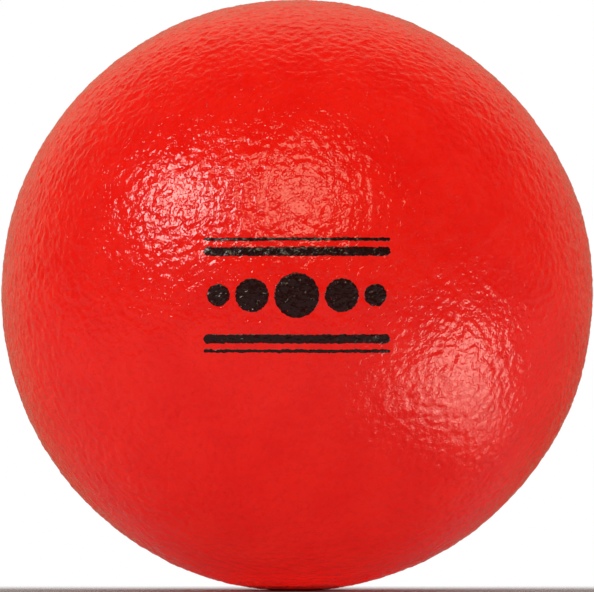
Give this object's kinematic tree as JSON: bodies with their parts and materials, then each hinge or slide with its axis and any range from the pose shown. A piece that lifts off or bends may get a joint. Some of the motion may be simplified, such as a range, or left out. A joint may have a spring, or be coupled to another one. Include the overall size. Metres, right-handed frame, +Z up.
{
  "type": "foam dodgeball",
  "caption": "Soft round dodgeball: a foam core under a sealing coat and a tough, leathery red skin, with a small black printed mark.",
  "frame": {"origin": "the middle of the ball", "axes": "+Z up, -Y out through the middle of the printed mark, +X to the right for someone who looks at the mark"},
  "size_m": [0.16, 0.1601, 0.16],
  "materials": {
    "foam": "matte",
    "sealing_coat": "satin",
    "red_skin": "gloss",
    "black_ink": "satin"
  },
  "bodies": {
    "root": {"foam_core": "foam", "base_coat": "sealing_coat", "skin": "red_skin", "printed_mark": "black_ink"}
  },
  "joints": []
}
